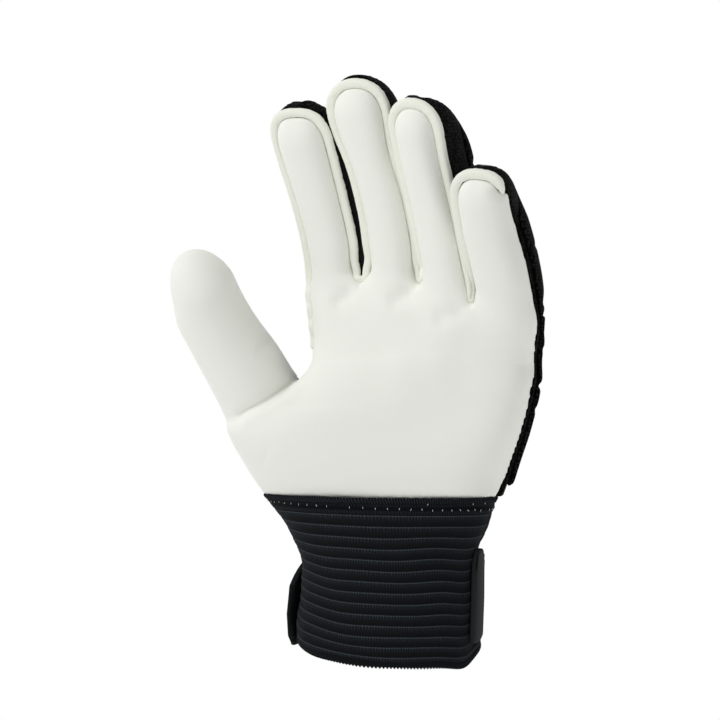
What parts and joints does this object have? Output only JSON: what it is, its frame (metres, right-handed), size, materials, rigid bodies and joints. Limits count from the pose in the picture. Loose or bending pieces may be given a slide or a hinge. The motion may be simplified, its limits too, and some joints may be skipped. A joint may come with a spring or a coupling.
{
  "type": "goalkeeper glove",
  "caption": "Left goalkeeper glove, worn form, palm forward: white foam palm and wrapped thumb, rimmed finger fronts, black padded back, ribbed elastic cuff with wrist strap.",
  "frame": {"origin": "middle of the wrist opening, where the hand goes in, at the height of the cuff's hem", "axes": "+Z along the glove towards the fingertips, -Y out of the palm, +X towards the little finger; the thumb is at -X"},
  "size_m": [0.1553, 0.0863, 0.256],
  "materials": {
    "foam": "soft matt latex foam, fine open-cell grain",
    "welt": "matt cut edge of the same foam, slightly fuzzy",
    "textile": "black knitted mesh with a fine diamond texture",
    "pad": "black quilted textile over a thin pad",
    "elastic": "blue-black ribbed elastic, matt",
    "strap": "black woven strap",
    "rubber": "smooth charcoal rubber, satin"
  },
  "bodies": {
    "root": {"palm_foam": "foam", "backhand": "textile", "finger_welt": "welt", "back_panel": "pad", "finger_pad_index": "pad", "finger_pad_middle": "pad", "finger_pad_ring": "pad", "finger_pad_little": "pad", "wrist_cuff": "elastic", "cuff_seam_band": "elastic", "wrist_strap": "strap", "strap_anchor": "rubber"}
  },
  "joints": []
}
